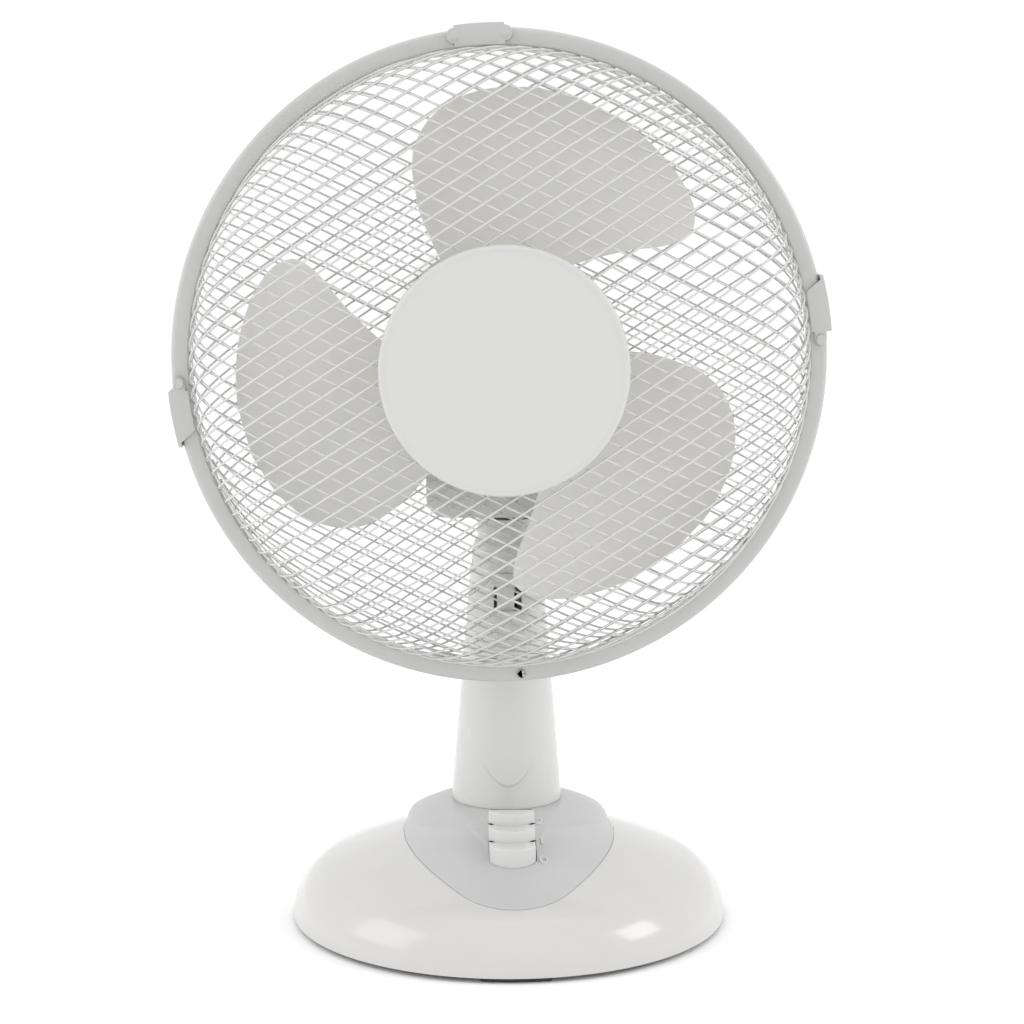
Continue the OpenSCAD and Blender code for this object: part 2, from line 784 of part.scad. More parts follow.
module worm() {
    color("goldenrod") on_motor_axis() translate([0, 0, 46.5]) difference() {
        for (i = [0:6]) translate([0, 0, 1.6 * i]) {
            cylinder(r1 = 4.4, r2 = 4.85, h = 0.8);
            translate([0, 0, 0.8]) cylinder(r1 = 4.85, r2 = 4.4, h = 0.8);
        }
        translate([0, 0, -1]) cylinder(r = shaft_r, h = 20);
    }
}

// A spur gear with straight-sided teeth, thin enough to run with backlash
module spur(teeth, pitch_r, out, in, h, share = 0.2) {
    step = 360 / teeth;
    corner_r = [pitch_r - in, pitch_r + out, pitch_r + out, pitch_r - in];
    corner_a = [-share - 0.1, 0.08 - share, share - 0.08, share + 0.1];
    linear_extrude(h) polygon([for (i = [0:teeth - 1], k = [0:3])
        corner_r[k] * [cos(step * (i + corner_a[k])), sin(step * (i + corner_a[k]))]]);
}

module worm_wheel() {
    color("ivory") translate([spindle[0], spindle[1], 0]) {
        translate([0, 0, axis_z - 1.5]) rotate([0, 0, 180]) spur(wheel_teeth, wheel_r - 1.75, 0.9, 0.9, 3, 0.14);
        translate([0, 0, 202.3]) rotate([0, 0, 225])
            spur(pinion_teeth, gear_module * pinion_teeth / 2, 0.5, 0.8, 8);
        translate([0, 0, 210]) cylinder(r = 3, h = axis_z - 211);
        translate([0, 0, 196.5]) cylinder(r = 2, h = 20);
    }
}

module crank_gear() {
    color("ivory") {
        translate([crank[0], crank[1], 202.3]) rotate([0, 0, 45 + 180 / crank_teeth])
            spur(crank_teeth, gear_module * crank_teeth / 2, 0.5, 0.8, 5);
        translate([crank[0], crank[1], crank_arm_z]) cylinder(r = 2.5, h = 16);
        translate([crank[0], crank[1], crank_arm_z]) cylinder(r = 4.5, h = 2.6);
        translate([crank[0] - 9, crank[1] - 2.5, crank_arm_z]) cube([9, 5, 2.6]);
        translate([crank[0] - 8, crank[1], crank_arm_z - 1.6]) cylinder(r = 1.5, h = 3);
    }
}

link_z = 182.6;
module link_arm() {
    end = [crank[0] - 8, crank[1]];
    start = [-10, 0];
    reach = norm(end - start);
    color("silver") translate([start[0], start[1], link_z]) rotate([0, 0, atan2(end[1] - start[1], end[0] - start[0])])
        difference() {
            union() {
                translate([0, -1.2, 0]) cube([reach, 2.4, 2]);
                cylinder(r = 2.9, h = 2);
                translate([reach, 0, 0]) cylinder(r = 3.4, h = 2);
            }
            translate([0, 0, -1]) cylinder(r = 1.55, h = 5);
            translate([reach, 0, -1]) cylinder(r = 1.6, h = 5);
        }
}

module clutch_knob() {
    knob_z = axis_z + 51;
    color("whitesmoke") translate([spindle[0], spindle[1], 0]) {
        translate([0, 0, axis_z + 3]) cylinder(r = 3, h = 50);
        translate([0, 0, knob_z]) cylinder(r = 6.5, h = 7);
        translate([0, 0, knob_z + 7]) cylinder(r1 = 6.5, r2 = 5.5, h = 1.6);
        translate([0, 0, axis_z + 3]) cylinder(r = 5, h = 3);
    }
}

base_cover();
control_panel();
base_plate();
ballast_weight();
rubber_feet();
base_screws();
column();
column_nut();
switch_block();
cord_inlet();
key_off();
key_low();
key_high();
tilt_bolt();
tilt_nut();
neck_bracket();
swing_pivot_tube();
thrust_washer();
link_pin();
gear_case();
pivot_screw();
motor_front_cover();
motor_rear_cover();
cover_screws();
front_end_shield();
rear_end_shield();
stator_core();
coil_windings();
shaft_bushes();
motor_bolts();
rear_guard_mesh();
rear_guard_ring();
rear_guard_seat();
guard_nut();
front_guard_mesh();
front_guard_ring();
badge_disc();
badge_backing();
top_hook();
clip_rivets();
ring_screw();
clip_right();
clip_left();
rotor_shaft();
rotor_core();
impeller();
drive_pin();
spinner_cap();
worm();
worm_wheel();
crank_gear();
link_arm();
clutch_knob();
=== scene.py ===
"""A small white oscillating desk fan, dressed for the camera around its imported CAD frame."""
import json
import math

import bmesh
import bpy
import numpy as np
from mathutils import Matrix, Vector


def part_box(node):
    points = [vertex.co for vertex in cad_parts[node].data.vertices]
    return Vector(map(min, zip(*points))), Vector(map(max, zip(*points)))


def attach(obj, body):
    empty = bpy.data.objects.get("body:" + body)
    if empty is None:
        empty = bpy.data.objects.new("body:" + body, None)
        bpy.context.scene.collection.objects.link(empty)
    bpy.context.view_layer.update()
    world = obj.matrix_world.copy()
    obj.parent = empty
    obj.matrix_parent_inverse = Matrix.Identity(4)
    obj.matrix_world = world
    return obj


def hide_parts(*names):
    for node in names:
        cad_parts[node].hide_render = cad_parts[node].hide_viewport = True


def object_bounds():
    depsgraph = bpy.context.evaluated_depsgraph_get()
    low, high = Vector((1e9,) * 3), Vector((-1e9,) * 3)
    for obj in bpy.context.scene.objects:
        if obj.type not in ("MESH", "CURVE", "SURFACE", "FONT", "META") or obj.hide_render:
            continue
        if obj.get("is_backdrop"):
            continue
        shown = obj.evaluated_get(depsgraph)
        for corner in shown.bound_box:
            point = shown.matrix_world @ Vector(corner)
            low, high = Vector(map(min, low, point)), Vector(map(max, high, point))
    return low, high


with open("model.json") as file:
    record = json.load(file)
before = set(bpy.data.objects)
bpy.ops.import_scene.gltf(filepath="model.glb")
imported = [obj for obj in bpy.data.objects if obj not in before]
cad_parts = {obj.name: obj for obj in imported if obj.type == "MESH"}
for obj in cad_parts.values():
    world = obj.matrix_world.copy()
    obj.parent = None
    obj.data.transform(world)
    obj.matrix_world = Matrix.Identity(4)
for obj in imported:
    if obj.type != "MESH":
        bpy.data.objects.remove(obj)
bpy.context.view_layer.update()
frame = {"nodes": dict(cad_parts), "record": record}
nodes = frame["nodes"]
scene = bpy.context.scene


# ---- Camera ----
# A long lens at the height of the fan's ring, 1.15 m away and a little left of the fan's axis.
camera_distance, camera_height = 1.150, 0.3575
camera_azimuth, camera_yaw, camera_pitch = math.radians(-1.971), math.radians(2.097), math.radians(8.784)
camera = bpy.data.objects.new("camera", bpy.data.cameras.new("camera"))
camera.data.sensor_width = 36
camera.data.lens = 89.65
camera.data.clip_start, camera.data.clip_end = 0.05, 50
camera.location = (camera_distance * math.sin(camera_azimuth), -camera_distance * math.cos(camera_azimuth),
                   camera_height)
camera.rotation_euler = (math.pi / 2 - camera_pitch, 0, -camera_yaw)
scene.collection.objects.link(camera)
scene.camera = camera


# ---- Base cover ----
# The dome that carries everything: one glossy ABS injection moulding, a flat crown that rolls over a fuller
# rim. It has a shallow seat, the shape of a pick, that the control panel is glued into.
MM = 0.001


def linear(code):
    """An sRGB hex colour as linear RGBA: each channel by the sRGB curve."""
    channels = [int(code[i:i + 2], 16) / 255 for i in (1, 3, 5)]
    return tuple(c / 12.92 if c <= 0.04045 else ((c + 0.055) / 1.055) ** 2.4 for c in channels) + (1,)


def new_material(name):
    """An empty node material with a Principled shader, returned with its tree and shader."""
    material = bpy.data.materials.new(name)
    material.use_nodes = True
    return material, material.node_tree, material.node_tree.nodes["Principled BSDF"]


def add_node(tree, kind, values=None, links=None):
    """Adds a node, sets its input values, and links other nodes' outputs to its inputs."""
    node = tree.nodes.new(kind)
    for key, value in (values or {}).items():
        node.inputs[key].default_value = value
    for key, output in (links or {}).items():
        tree.links.new(output, node.inputs[key])
    return node


def box_mm(node):
    """The low and high corners of a CAD node's box, in mm."""
    return [np.array(corner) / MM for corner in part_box(node)]


# The cloud is the melt's own flow, a few centimetres across. The grain of a mould's skin is about a tenth of a
# millimetre, and is drawn about one millimetre across so that it shows.
flow_cloud_mm = 26


def moulded_plastic(name, colour, roughness, coat=0.0, grain_mm=1.2, grain_depth=0.01, mottle=0.02, sss=0.0):
    """Injection-moulded plastic: a near-even colour with a faint cloudy mottle, and a grain of the mould's skin."""
    material, tree, shader = new_material(name)
    place = add_node(tree, "ShaderNodeTexCoord").outputs["Object"]
    cloud = add_node(tree, "ShaderNodeTexNoise", {"Scale": 1 / (flow_cloud_mm * MM), "Detail": 3.0},
                     {"Vector": place})
    base = linear(colour)
    ramp = add_node(tree, "ShaderNodeValToRGB", None, {"Fac": cloud.outputs["Fac"]})
    ramp.color_ramp.elements[0].position, ramp.color_ramp.elements[1].position = 0.3, 0.7
    ramp.color_ramp.elements[0].color = tuple(c * (1 - mottle) for c in base[:3]) + (1,)
    ramp.color_ramp.elements[1].color = tuple(min(1, c * (1 + mottle)) for c in base[:3]) + (1,)
    tree.links.new(ramp.outputs["Color"], shader.inputs["Base Color"])
    skin = add_node(tree, "ShaderNodeTexNoise", {"Scale": 1 / (grain_mm * MM), "Detail": 2.0}, {"Vector": place})
    rough = add_node(tree, "ShaderNodeMapRange", {"To Min": roughness * 0.85, "To Max": roughness * 1.15},
                     {"Value": cloud.outputs["Fac"]})
    tree.links.new(rough.outputs["Result"], shader.inputs["Roughness"])
    bump = add_node(tree, "ShaderNodeBump", {"Strength": 0.25, "Distance": grain_depth * MM},
                    {"Height": skin.outputs["Fac"]})
    tree.links.new(bump.outputs["Normal"], shader.inputs["Normal"])
    shader.inputs["IOR"].default_value = 1.53
    shader.inputs["Coat Weight"].default_value = coat
    shader.inputs["Coat Roughness"].default_value = 0.06
    if sss:
        shader.inputs["Subsurface Weight"].default_value = sss
        shader.inputs["Subsurface Radius"].default_value = (1, 0.95, 0.85)
        shader.inputs["Subsurface Scale"].default_value = 2 * MM
    return material


def grid_piece(name, points, material, wrap_u=False, wrap_v=False, poles=(), smooth_deg=40):
    """A mesh from a grid of points (rows u, columns v, in mm), closed round u or v, and closed with a pole
    vertex on the first or last row where poles says so. Faces run so that du x dv points outwards."""
    rows, cols = points.shape[:2]
    index = np.arange(rows * cols).reshape(rows, cols)
    nu, nv = rows if wrap_u else rows - 1, cols if wrap_v else cols - 1
    u, v = np.meshgrid(np.arange(nu), np.arange(nv), indexing="ij")
    u1, v1 = (u + 1) % rows, (v + 1) % cols
    quads = np.stack([index[u, v], index[u1, v], index[u1, v1], index[u, v1]], -1).reshape(-1, 4)
    verts = points.reshape(-1, 3)
    tris = []
    for pole in poles:
        row = index[0] if pole == 0 else index[-1]
        tip = len(verts)
        verts = np.vstack([verts, points[0 if pole == 0 else -1].mean(0)])
        ring = np.stack([row, np.roll(row, -1)], 1)
        fan = np.column_stack([ring[:, 0], ring[:, 1], np.full(cols, tip)])
        tris.append(fan[:, ::-1] if pole == 0 else fan)
    return mesh_piece(name, verts, [quads] + tris, material, smooth_deg)


def mesh_piece(name, verts, face_sets, material, smooth_deg=40):
    """A mesh object from points in mm and arrays of faces, shaded smooth up to an edge angle."""
    mesh = bpy.data.meshes.new(name)
    loops = np.concatenate([f.ravel() for f in face_sets]).astype(np.int32)
    sizes = np.concatenate([np.full(len(f), f.shape[1]) for f in face_sets]).astype(np.int32)
    starts = np.concatenate([[0], np.cumsum(sizes)[:-1]]).astype(np.int32)
    mesh.vertices.add(len(verts))
    mesh.vertices.foreach_set("co", (np.asarray(verts, np.float32) * MM).ravel())
    mesh.loops.add(len(loops))
    mesh.loops.foreach_set("vertex_index", loops)
    mesh.polygons.add(len(sizes))
    mesh.polygons.foreach_set("loop_start", starts)
    mesh.update(calc_edges=True)
    mesh.validate()
    mesh.shade_smooth()
    mesh.set_sharp_from_angle(angle=math.radians(smooth_deg))
    piece = bpy.data.objects.new(name, mesh)
    scene.collection.objects.link(piece)
    mesh.materials.append(material)
    return piece


base_low, base_high = box_mm("base_cover")
base_r = (base_high[0] - base_low[0]) / 2
base_y = (base_high[1] + base_low[1]) / 2
dome_top = base_high[2]
rim_r, rim_z, rim_bottom = 27.3, 2.4, base_low[2]
shell = 2.2
crown_r = ((base_r - rim_r) ** 2 + (dome_top - rim_z) ** 2 - rim_r ** 2) / (2 * (dome_top - rim_z - rim_r))
crown_z = dome_top - crown_r
split = math.atan2(base_r - rim_r, rim_z - crown_z)


def dome_profile(s, lift=0.0):
    """Distance from the base's axis and height at arc length s along the dome: an arc of the crown's radius,
    then one of the rim's radius; lift moves the point along the normal."""
    crown_len = crown_r * split
    on_rim = s > crown_len
    a = np.where(on_rim, split + (s - crown_len) / rim_r, s / crown_r)
    d = np.where(on_rim, base_r - rim_r + (rim_r + lift) * np.sin(a), (crown_r + lift) * np.sin(a))
    z = np.where(on_rim, rim_z + (rim_r + lift) * np.cos(a), crown_z + (crown_r + lift) * np.cos(a))
    return d, z


def dome_arc(d):
    """Arc length along the dome at plan distance d from its axis, up to the dome's widest point."""
    table = np.linspace(0, crown_r * split + rim_r * (math.pi / 2 - split), 800)
    return np.interp(d, dome_profile(table)[0], table)


# The panel is widest at panel_wide_y and ends in front at panel_tip_y; its back is round about panel_back_y.
panel_half_w, panel_wide_y, panel_tip_y, panel_side_r, panel_back_y = 47.3, -30.0, -112.4, 115.0, -20.0


def panel_outline(angle):
    """Plan distance from the base's axis to the panel's edge: two side arcs that run into a round tip in front
    and a round back behind the column."""
    centre_x = panel_side_r - panel_half_w
    reach = panel_wide_y - panel_tip_y
    rest = panel_side_r - reach
    tip_r = reach - (centre_x ** 2 - rest ** 2) / (2 * rest)
    tip_y = panel_tip_y + tip_r
    touch = math.atan2(panel_wide_y - tip_y, centre_x)
    pieces = [((-centre_x, panel_wide_y), panel_side_r, -touch, 0),
              ((0, panel_back_y), panel_half_w, 0, math.pi),
              ((centre_x, panel_wide_y), panel_side_r, math.pi, math.pi + touch),
              ((0, tip_y), tip_r, touch - math.pi, -touch)]
    path = []
    for (cx, cy), r, a0, a1 in pieces:
        a = np.linspace(a0, a1, 200)
        path.append(np.stack([cx + r * np.cos(a), cy + r * np.sin(a)], 1))
    path = np.vstack(path) - (0, base_y)
    bearing = np.arctan2(path[:, 1], path[:, 0])
    order = np.argsort(bearing)
    return np.interp(angle, bearing[order], np.hypot(*path[order].T), period=2 * math.pi)


turn = np.linspace(-math.pi, math.pi, 360, endpoint=False)
seat_r = panel_outline(turn) + 0.06
seat_s = dome_arc(seat_r)
bottom_s = crown_r * split + rim_r * (math.pi / 2 - split + math.asin((rim_z - rim_bottom) / rim_r))


def around_base(d, z, angle):
    """Points at plan distance d and height z, at an angle round the base's axis."""
    return np.stack([d * np.cos(angle), base_y + d * np.sin(angle), z], -1)


def dome_ring(s, lift):
    """One ring of the dome's surface, at arc length s (one for each angle) and lifted along the normal."""
    return around_base(*dome_profile(s, lift), turn)


outer = [dome_ring(seat_s + (bottom_s - seat_s) * t, 0) for t in np.linspace(0, 1, 60)]
edge = [dome_ring(seat_s, -2.0), dome_ring(seat_s, -1.0), dome_ring(seat_s, -0.16), dome_ring(seat_s + 0.05, -0.04)]
outer[0] = dome_ring(seat_s + 0.18, 0)
foot = [dome_ring(np.full_like(turn, bottom_s), lift) for lift in (-0.2, -shell / 2, -shell)]
inner = [dome_ring(seat_s + (bottom_s - seat_s) * t, -shell) for t in np.linspace(0.97, -0.05, 24)]
# ABS from a polished mould: a smooth skin that shows the lamps as patches with soft edges.
gloss_abs = moulded_plastic("glossy_white_abs", "#cbcac9", 0.2, coat=0.35, mottle=0.012)
base_shell = grid_piece("base_shell", np.array(edge + outer + foot + inner), gloss_abs, wrap_u=True, wrap_v=True)
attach(base_shell, "base")
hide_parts("base_cover")


# ---- Control panel ----
# A pick-shaped ABS cap of a slightly greyer batch, let into the dome with a fine shadow gap. A soft V-shaped
# plateau surrounds the keys, and the cap swells up to a flat seat for the column.
panel_gap, panel_proud, panel_edge_r = 0.05, 0.4, 0.4
plateau_rise, plateau_slope = 0.35, 3.2
seat_z, seat_flat_r = 46.82, 26
plateau = np.array([[-82.5, 0.0], [-65.0, 10.8], [-44.4, 17.9], [-20.0, 21.6], [-2.8, 23.5]])


def smooth_step(x):
    """Rises from 0 to 1 as x goes from 0 to 1, level at both ends: 3x^2 - 2x^3."""
    x = np.clip(x, 0, 1)
    return x * x * (3 - 2 * x)


def panel_lift(points):
    """How far the panel stands above the dome: its own height, the plateau inside the V, and a swell that rises
    by (1 - (rho / fall)^2)^e to the flat seat of the column's foot, rho being the distance outside that seat. The
    fall shortens from 23 to 8 and e from 1.1 to 0.7 beside and behind the column, which rounds the shoulder."""
    x, y = points[..., 0], points[..., 1]
    inside = np.interp(y, plateau[:, 0], plateau[:, 1]) - np.abs(x)
    fade = smooth_step((12 - y) / 20) * smooth_step((y + 86) / 8)
    low = panel_proud + plateau_rise * smooth_step(inside / plateau_slope + 0.5) * fade
    d = np.hypot(x, y - base_y)
    ground = crown_z + np.sqrt(crown_r ** 2 - np.minimum(d, base_r - rim_r) ** 2) + low
    aside = smooth_step((y + 26) / 22)
    fall = 23 - 2 * aside - 13 * smooth_step(y / 20)
    rho = np.maximum(np.hypot(x, y) - seat_flat_r, 0)
    share = np.clip(1 - (rho / fall) ** 2, 0, 1) ** (1.1 - 0.4 * aside)
    return low + np.maximum(seat_z - ground, 0) * share


def panel_ring(s, lift, add=True):
    """One ring of the panel at arc length s along the dome, lifted by the panel's own height plus lift."""
    own = panel_lift(dome_ring(s, 0)) if add else 0
    return dome_ring(s, own + lift)


panel_s = dome_arc(panel_outline(turn) - panel_gap)
top_rows = [panel_ring((panel_s - panel_edge_r) * t, 0) for t in np.linspace(0.01, 1, 90)]
round_rows = [panel_ring(panel_s - panel_edge_r * (1 - math.sin(a)), -panel_edge_r * (1 - math.cos(a)))
              for a in np.linspace(0, math.pi / 2, 6)[1:]]
skirt_rows = [panel_ring(panel_s * t, -1.9, add=False) for t in (1, 0.97, 0.6, 0.3, 0.01)]
# ABS from a spark-finished mould: a little greyer and duller, with a broad sheen and no sharp reflection.
panel_abs = moulded_plastic("satin_grey_white_abs", "#bfbfbf", 0.3, coat=0.15, mottle=0.012)
panel = grid_piece("control_panel_cap", np.array(top_rows + round_rows + skirt_rows), panel_abs,
                   wrap_v=True, poles=(0, -1))
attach(panel, "base")
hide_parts("control_panel")


# ---- Keys ----
# Three ABS push keys that nest behind each other like roof tiles, each with a bowed front and a rounded top
# edge. They stand in one well of the panel, and the rear key is the tallest.
key_names = ("key_off", "key_low", "key_high")
key_box = [box_mm(name) for name in key_names]
key_half = (key_box[0][1][0] - key_box[0][0][0]) / 2 - 0.25
key_front_r, key_bow_x, key_gap, key_edge_r = 12.0, 11.6, 0.08, 1.3
key_dish, key_dish_band = 0.5, 1.5
key_fronts = [low[1] for low, high in key_box]
key_back = key_box[2][1][1]


def soften(outline, spacing=0.3, rounds=10):
    """A closed outline resampled evenly and averaged with its neighbours, which rounds its corners."""
    loop = np.vstack([outline, outline[:1]])
    length = np.concatenate([[0], np.cumsum(np.hypot(*np.diff(loop, axis=0).T))])
    at = np.linspace(0, length[-1], max(24, int(length[-1] / spacing)), endpoint=False)
    path = np.stack([np.interp(at, length, loop[:, k]) for k in (0, 1)], 1)
    for _ in range(rounds):
        path = (np.roll(path, 1, 0) + 2 * path + np.roll(path, -1, 0)) / 4
    return path


def bow(front, grow=0.0, half=key_half):
    """Points of a key's bowed front edge from its left side to its right: an arc of the key's front radius."""
    x = np.linspace(-half, half, 40)
    sag = key_front_r - np.sqrt(key_front_r ** 2 - np.minimum(np.abs(x), key_bow_x) ** 2)
    return np.stack([x, front - grow + sag], 1)


def inset_outline(path, amount):
    """The outline moved inwards by amount along its own normals; it runs counter-clockwise."""
    ahead = np.roll(path, -1, 0) - np.roll(path, 1, 0)
    normal = np.stack([-ahead[:, 1], ahead[:, 0]], 1) / np.hypot(*ahead.T)[:, None]
    return path + normal * amount


def prism_piece(name, outline, z_low, z_high, edge_r, material, shape=None):
    """A block with the outline as its plan, straight sides and a rounded top edge, capped top and bottom."""
    turns = np.linspace(0, math.pi / 2, 6)
    insets = [0] + [edge_r * (1 - math.cos(a)) for a in turns]
    heights = [z_low] + [z_high - edge_r + edge_r * math.sin(a) for a in turns]
    rows = [np.column_stack([inset_outline(outline, i), np.full(len(outline), z)]) for i, z in zip(insets, heights)]
    points = np.array(rows)
    if shape is not None:
        points = shape(points)
    n, m = points.shape[:2]
    index = np.arange(n * m).reshape(n, m)
    side = np.stack([index[:-1], np.roll(index[:-1], -1, 1), np.roll(index[1:], -1, 1), index[1:]], -1)
    return mesh_piece(name, points.reshape(-1, 3), [side.reshape(-1, 4), index[-1][None], index[0][::-1][None]],
                      material)


def dished(points, top):
    """A key's points with its upper rows sunk by the dish's depth times cos(x / half width)."""
    sink = (points[..., 2:3] > top - key_dish_band) * np.array([0, 0, -key_dish])
    return points + sink * np.cos(points[..., :1] / key_half)


# ABS from a polished mould, a shade lighter than the panel: fine bright lines along the rounded edges.
key_abs = moulded_plastic("glossy_white_key_abs", "#cdcdcc", 0.22, coat=0.3, mottle=0.01)
for i, name in enumerate(key_names):
    low, high = key_box[i]
    front = bow(key_fronts[i])
    if i < 2:
        back = bow(key_fronts[i + 1], grow=key_gap)[::-1]
    else:
        back = np.array([[key_half, key_back], [-key_half, key_back]])
    outline = soften(np.vstack([front, back]), rounds=2)
    key = prism_piece(name + "_cap", outline, low[2], high[2], key_edge_r, key_abs,
                      lambda points: dished(points, high[2]))
    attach(key, name)
    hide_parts(name)


def cut(piece, cutter):
    """Takes the cutter's space out of a piece with an exact boolean, and removes the cutter."""
    boolean = piece.modifiers.new("cut", "BOOLEAN")
    boolean.object, boolean.solver = cutter, "EXACT"
    bpy.context.view_layer.objects.active = piece
    with bpy.context.temp_override(object=piece, active_object=piece, selected_objects=[piece]):
        bpy.ops.object.modifier_apply(modifier=boolean.name)
    bpy.data.objects.remove(cutter)


well = np.vstack([bow(key_fronts[0], 0.12, key_half + 0.12) + (0.1, 0),
                  [[key_half + 0.6, key_fronts[0] + 12], [key_half + 0.6, key_back + 0.4],
                   [-key_half - 0.05, key_back + 0.4]]])
cut(panel, prism_piece("well", soften(well, rounds=4), 20, 70, 0.01, panel_abs))


# ---- Key numbers ----
# The digits 0, 1 and 2 beside the keys are moulded with the panel, six millimetres tall and half a millimetre
# proud of it.
digit_height, digit_x, digit_proud, digit_weight = 6.0, 13.6, 0.5, 0.12
digit_rows = (-79.0, -61.5, -41.5)
for i, digit in enumerate("012"):
    curve = bpy.data.curves.new("digit_" + digit, "FONT")
    curve.body, curve.align_x, curve.align_y = digit, "CENTER", "CENTER"
    curve.size, curve.resolution_u = digit_height * 1.45, 4
    curve.extrude, curve.offset = digit_proud, digit_weight
    text = bpy.data.objects.new("digit_" + digit, curve)
    scene.collection.objects.link(text)
    bpy.context.view_layer.update()
    mesh = bpy.data.meshes.new_from_object(text.evaluated_get(bpy.context.evaluated_depsgraph_get()))
    bpy.data.objects.remove(text)
    co = np.zeros(len(mesh.vertices) * 3)
    mesh.vertices.foreach_get("co", co)
    co = co.reshape(-1, 3) + (digit_x, digit_rows[i], 0)
    d = np.hypot(co[:, 0], co[:, 1] - base_y)
    co[:, 2] += crown_z + np.sqrt(crown_r ** 2 - d ** 2) + panel_lift(co)
    mesh.vertices.foreach_set("co", (co * MM).ravel())
    mesh.update()
    # The digits take the lighter key plastic, not the panel's: a painted highlight for the light that catches the
    # raised numbers.
    mesh.materials.clear()
    mesh.materials.append(key_abs)
    number = bpy.data.objects.new("key_number_" + digit, mesh)
    scene.collection.objects.link(number)
    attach(number, "base")


# ---- Column ----
# A tapered ABS tube that bolts up through the base. A shield-shaped face is raised on its front, a saddle is
# cut across its top for the tilting neck, and a small window shows the neck's tongue.
foot_z, lip_z, tilt_z, saddle_r = 46.9, 154.0, 158.0, 16.4
foot_r, top_r, column_wall = 25.386, 16.626, 2.4
shield_low, shield_bend, shield_rise = 57.2, 0.076, 0.8
window_half_w, window_low, window_high = 6.3, 137, 148
ear_half_w, ear_bottom, ear_r, ear_thick = 6.2, 122, 6.5, 2.8


def column_surface(angle, z, depth=0.0):
    """Points of the column at a bearing (0 at the front) and a height: a cone, with the raised shield inside the
    parabola z = low + bend x^2, which fades out upwards; depth moves the point inwards."""
    r = foot_r + (top_r - foot_r) * (z - foot_z) / (lip_z - foot_z)
    x = r * np.sin(angle)
    above = z - (shield_low + shield_bend * x * x)
    rise = shield_rise * smooth_step(above / 0.8) * smooth_step((96 - z) / 34) * (np.cos(angle) > 0)
    r = r + (rise if depth == 0 else 0) - depth
    return np.stack([r * np.sin(angle), -r * np.cos(angle), z], -1)


bearing = np.linspace(0, 2 * math.pi, 220, endpoint=False)
heights = np.concatenate([np.linspace(foot_z, 110, 150), np.linspace(112, lip_z, 20)])
outside = [column_surface(bearing, np.full_like(bearing, z)) for z in heights]
inside = [column_surface(bearing, np.full_like(bearing, z), column_wall)
          for z in np.linspace(lip_z, foot_z, 12)]
outside[0] = column_surface(bearing, np.full_like(bearing, foot_z), 0.05)
outside[1] = column_surface(bearing, np.full_like(bearing, foot_z + 0.35), 1e-6)
# ABS from a lightly blasted mould: an even pale skin with a wide, soft highlight down its length.
column_abs = moulded_plastic("satin_white_abs", "#cfcfce", 0.26, coat=0.2, mottle=0.012)
column = grid_piece("column_tube", np.array(outside + inside), column_abs, wrap_u=True, wrap_v=True)
window_outline = soften(np.array([[-window_half_w, -30], [window_half_w, -30], [window_half_w, 0],
                                  [-window_half_w, 0]]), spacing=1.0, rounds=0)
cut(column, prism_piece("window", window_outline, window_low, window_high, 0.01, column_abs))
ring_angle = np.linspace(0, 2 * math.pi, 96, endpoint=False)
saddle = np.stack([np.stack([np.full_like(ring_angle, x), saddle_r * np.cos(ring_angle),
                             tilt_z - saddle_r * np.sin(ring_angle)], -1) for x in (-40, 40)])
cut(column, grid_piece("saddle", saddle, column_abs, wrap_v=True, poles=(0, -1)))
rib = prism_piece("window_rib", np.array([[-4.9, -15.9], [3.0, -15.9], [3.0, -13.4], [-4.9, -13.4]]), 133.0, 150.8,
                  0.01, column_abs)
cut(rib, grid_piece("saddle", saddle, column_abs, wrap_v=True, poles=(0, -1)))
ear_turn = np.linspace(0, math.pi, 24)
ear_top = np.stack([ear_r * np.cos(ear_turn), tilt_z + ear_r * np.sin(ear_turn)], 1)
ear_outline = np.vstack([[[-ear_half_w, ear_bottom], [ear_half_w, ear_bottom]], ear_top])
ears = [prism_piece(name, ear_outline, low, low + ear_thick, 0.01, column_abs, lambda p: p[..., [2, 0, 1]])
        for name, low in (("saddle_ear_right", 4.6), ("saddle_ear_left", -7.4))]
for piece in (column, rib, *ears):
    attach(piece, "base")
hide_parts("column")


# ---- Neck ----
# The cast nylon neck that tilts in the column's saddle and carries the head. Its tongue shows in the window.
def finished_copy(node, name, material, edge_mm, smooth_deg=32):
    """The CAD node's own shape as one welded mesh, with a small radius of edge_mm along its sharp edges."""
    mesh = nodes[node].data.copy()
    mesh.name = name
    mesh.materials.clear()
    mesh.materials.append(material)
    work = bmesh.new()
    work.from_mesh(mesh)
    bmesh.ops.remove_doubles(work, verts=work.verts, dist=0.002 * MM)
    bmesh.ops.dissolve_limit(work, angle_limit=math.radians(0.8), verts=work.verts, edges=work.edges)
    work.to_mesh(mesh)
    work.free()
    mesh.shade_smooth()
    mesh.set_sharp_from_angle(angle=math.radians(smooth_deg))
    piece = bpy.data.objects.new(name, mesh)
    scene.collection.objects.link(piece)
    if edge_mm:
        bevel = piece.modifiers.new("edge", "BEVEL")
        bevel.width, bevel.segments, bevel.limit_method = edge_mm * MM, 2, "ANGLE"
        bevel.angle_limit = math.radians(smooth_deg)
        bevel.use_clamp_overlap = True
        bevel.harden_normals = True
    return piece


def dress(node, name, body, material, edge_mm, smooth_deg=32):
    """A finished copy of a CAD node that rides on its body and stands for it."""
    piece = finished_copy(node, name, material, edge_mm, smooth_deg)
    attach(piece, body)
    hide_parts(node)
    return piece


# Glass-filled nylon: a dull, faintly clouded grey-white that hardly reflects.
neck_nylon = moulded_plastic("satin_grey_white_nylon", "#d6d6d4", 0.38, coat=0.05, mottle=0.015)
dress("neck_bracket", "neck_casting", "neck", neck_nylon, 0.5)


